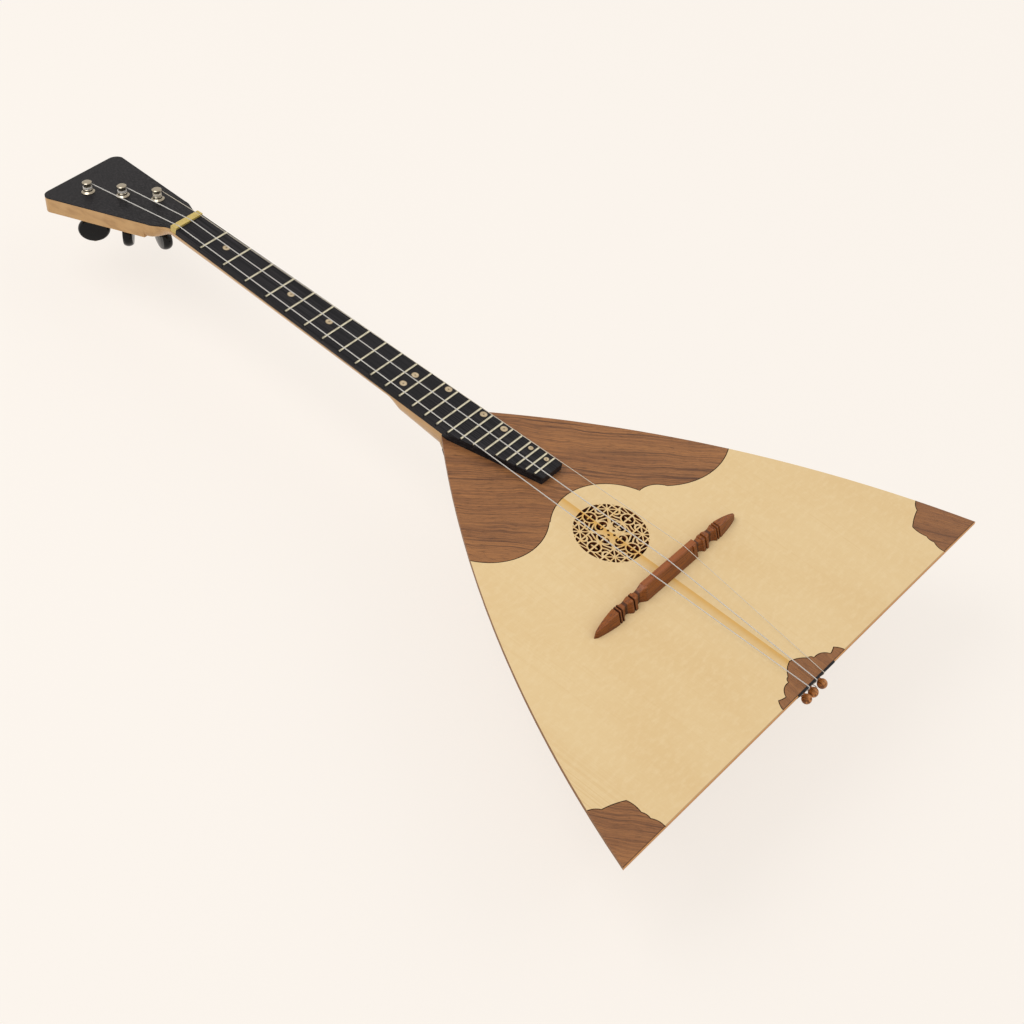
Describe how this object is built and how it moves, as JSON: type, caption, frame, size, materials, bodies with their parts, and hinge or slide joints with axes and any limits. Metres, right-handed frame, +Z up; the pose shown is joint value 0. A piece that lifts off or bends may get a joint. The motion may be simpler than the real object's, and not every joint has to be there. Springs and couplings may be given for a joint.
{
  "type": "prima balalaika",
  "caption": "Prima balalaika with a triangular spruce soundboard, a back of maple staves, a loose carved bridge, wooden string pins and friction tuners that turn.",
  "frame": {"origin": "under the middle of the instrument's overall length and width, level with the lowest point of its back", "axes": "+Y along the strings from the tail towards the head, +X across the soundboard towards the thin string, +Z up out of the soundboard"},
  "size_m": [0.4048, 0.678, 0.1034],
  "materials": {
    "spruce": "clear lacquer",
    "walnut": "clear lacquer",
    "maple": "clear lacquer",
    "ebony": "satin black stain",
    "rosewood": "oiled",
    "pear": "turned and oiled",
    "bone": "polished bone",
    "pearl": "cream shell",
    "nickel": "nickel plate",
    "fret_wire": "polished nickel silver",
    "button_black": "polished black",
    "nylon": "clear nylon",
    "steel_string": "plain steel"
  },
  "bodies": {
    "instrument": {"soundboard": "spruce", "upper_inlay": "walnut", "corner_inlay_bass": "walnut", "corner_inlay_treble": "walnut", "tail_inlay": "walnut", "stave_1": "maple", "stave_2": "maple", "stave_3": "maple", "stave_4": "maple", "stave_5": "maple", "stave_6": "maple", "stave_7": "maple", "end_panel": "maple", "tail_block": "maple", "neck_block": "maple", "lining_bass": "spruce", "lining_treble": "spruce", "brace_upper": "spruce", "brace_middle": "spruce", "brace_lower": "spruce", "rosette_ring": "spruce", "neck": "maple", "headstock": "maple", "head_veneer": "ebony", "fingerboard": "ebony", "frets": "fret_wire", "position_dots": "pearl", "nut": "bone", "tail_saddle": "ebony", "tail_pin_1": "pear", "tail_pin_2": "pear", "tail_pin_3": "pear", "string_1": "nylon", "string_2": "nylon", "string_3": "steel_string", "tuner_bushing_1": "nickel", "tuner_bushing_2": "nickel", "tuner_bushing_3": "nickel", "tuner_cup_1": "nickel", "tuner_cup_2": "nickel", "tuner_cup_3": "nickel"},
    "loose_bridge": {"bridge": "rosewood"},
    "tuner_1": {"tuner_post_1": "nickel", "tuner_button_1": "button_black", "tuner_screw_1": "nickel", "string_winding_1": "nylon"},
    "tuner_2": {"tuner_post_2": "nickel", "tuner_button_2": "button_black", "tuner_screw_2": "nickel", "string_winding_2": "nylon"},
    "tuner_3": {"tuner_post_3": "nickel", "tuner_button_3": "button_black", "tuner_screw_3": "nickel", "string_winding_3": "steel_string"}
  },
  "joints": [
    {"name": "bridge_shift", "type": "slide", "parent": "instrument", "child": "loose_bridge", "axis": [0, 1, 0], "range_m": [-0.0025, 0.0025]},
    {"name": "tuner_1_turn", "type": "hinge", "parent": "instrument", "child": "tuner_1", "pos_m": [-0.0134, 0.31449, 0.07518], "axis": [0, 0.2453, 0.9694], "continuous": true},
    {"name": "tuner_2_turn", "type": "hinge", "parent": "instrument", "child": "tuner_2", "pos_m": [-0.0018, 0.29064, 0.08121], "axis": [0, 0.2453, 0.9694], "continuous": true},
    {"name": "tuner_3_turn", "type": "hinge", "parent": "instrument", "child": "tuner_3", "pos_m": [0.0098, 0.26679, 0.08724], "axis": [0, 0.2453, 0.9694], "continuous": true}
  ]
}
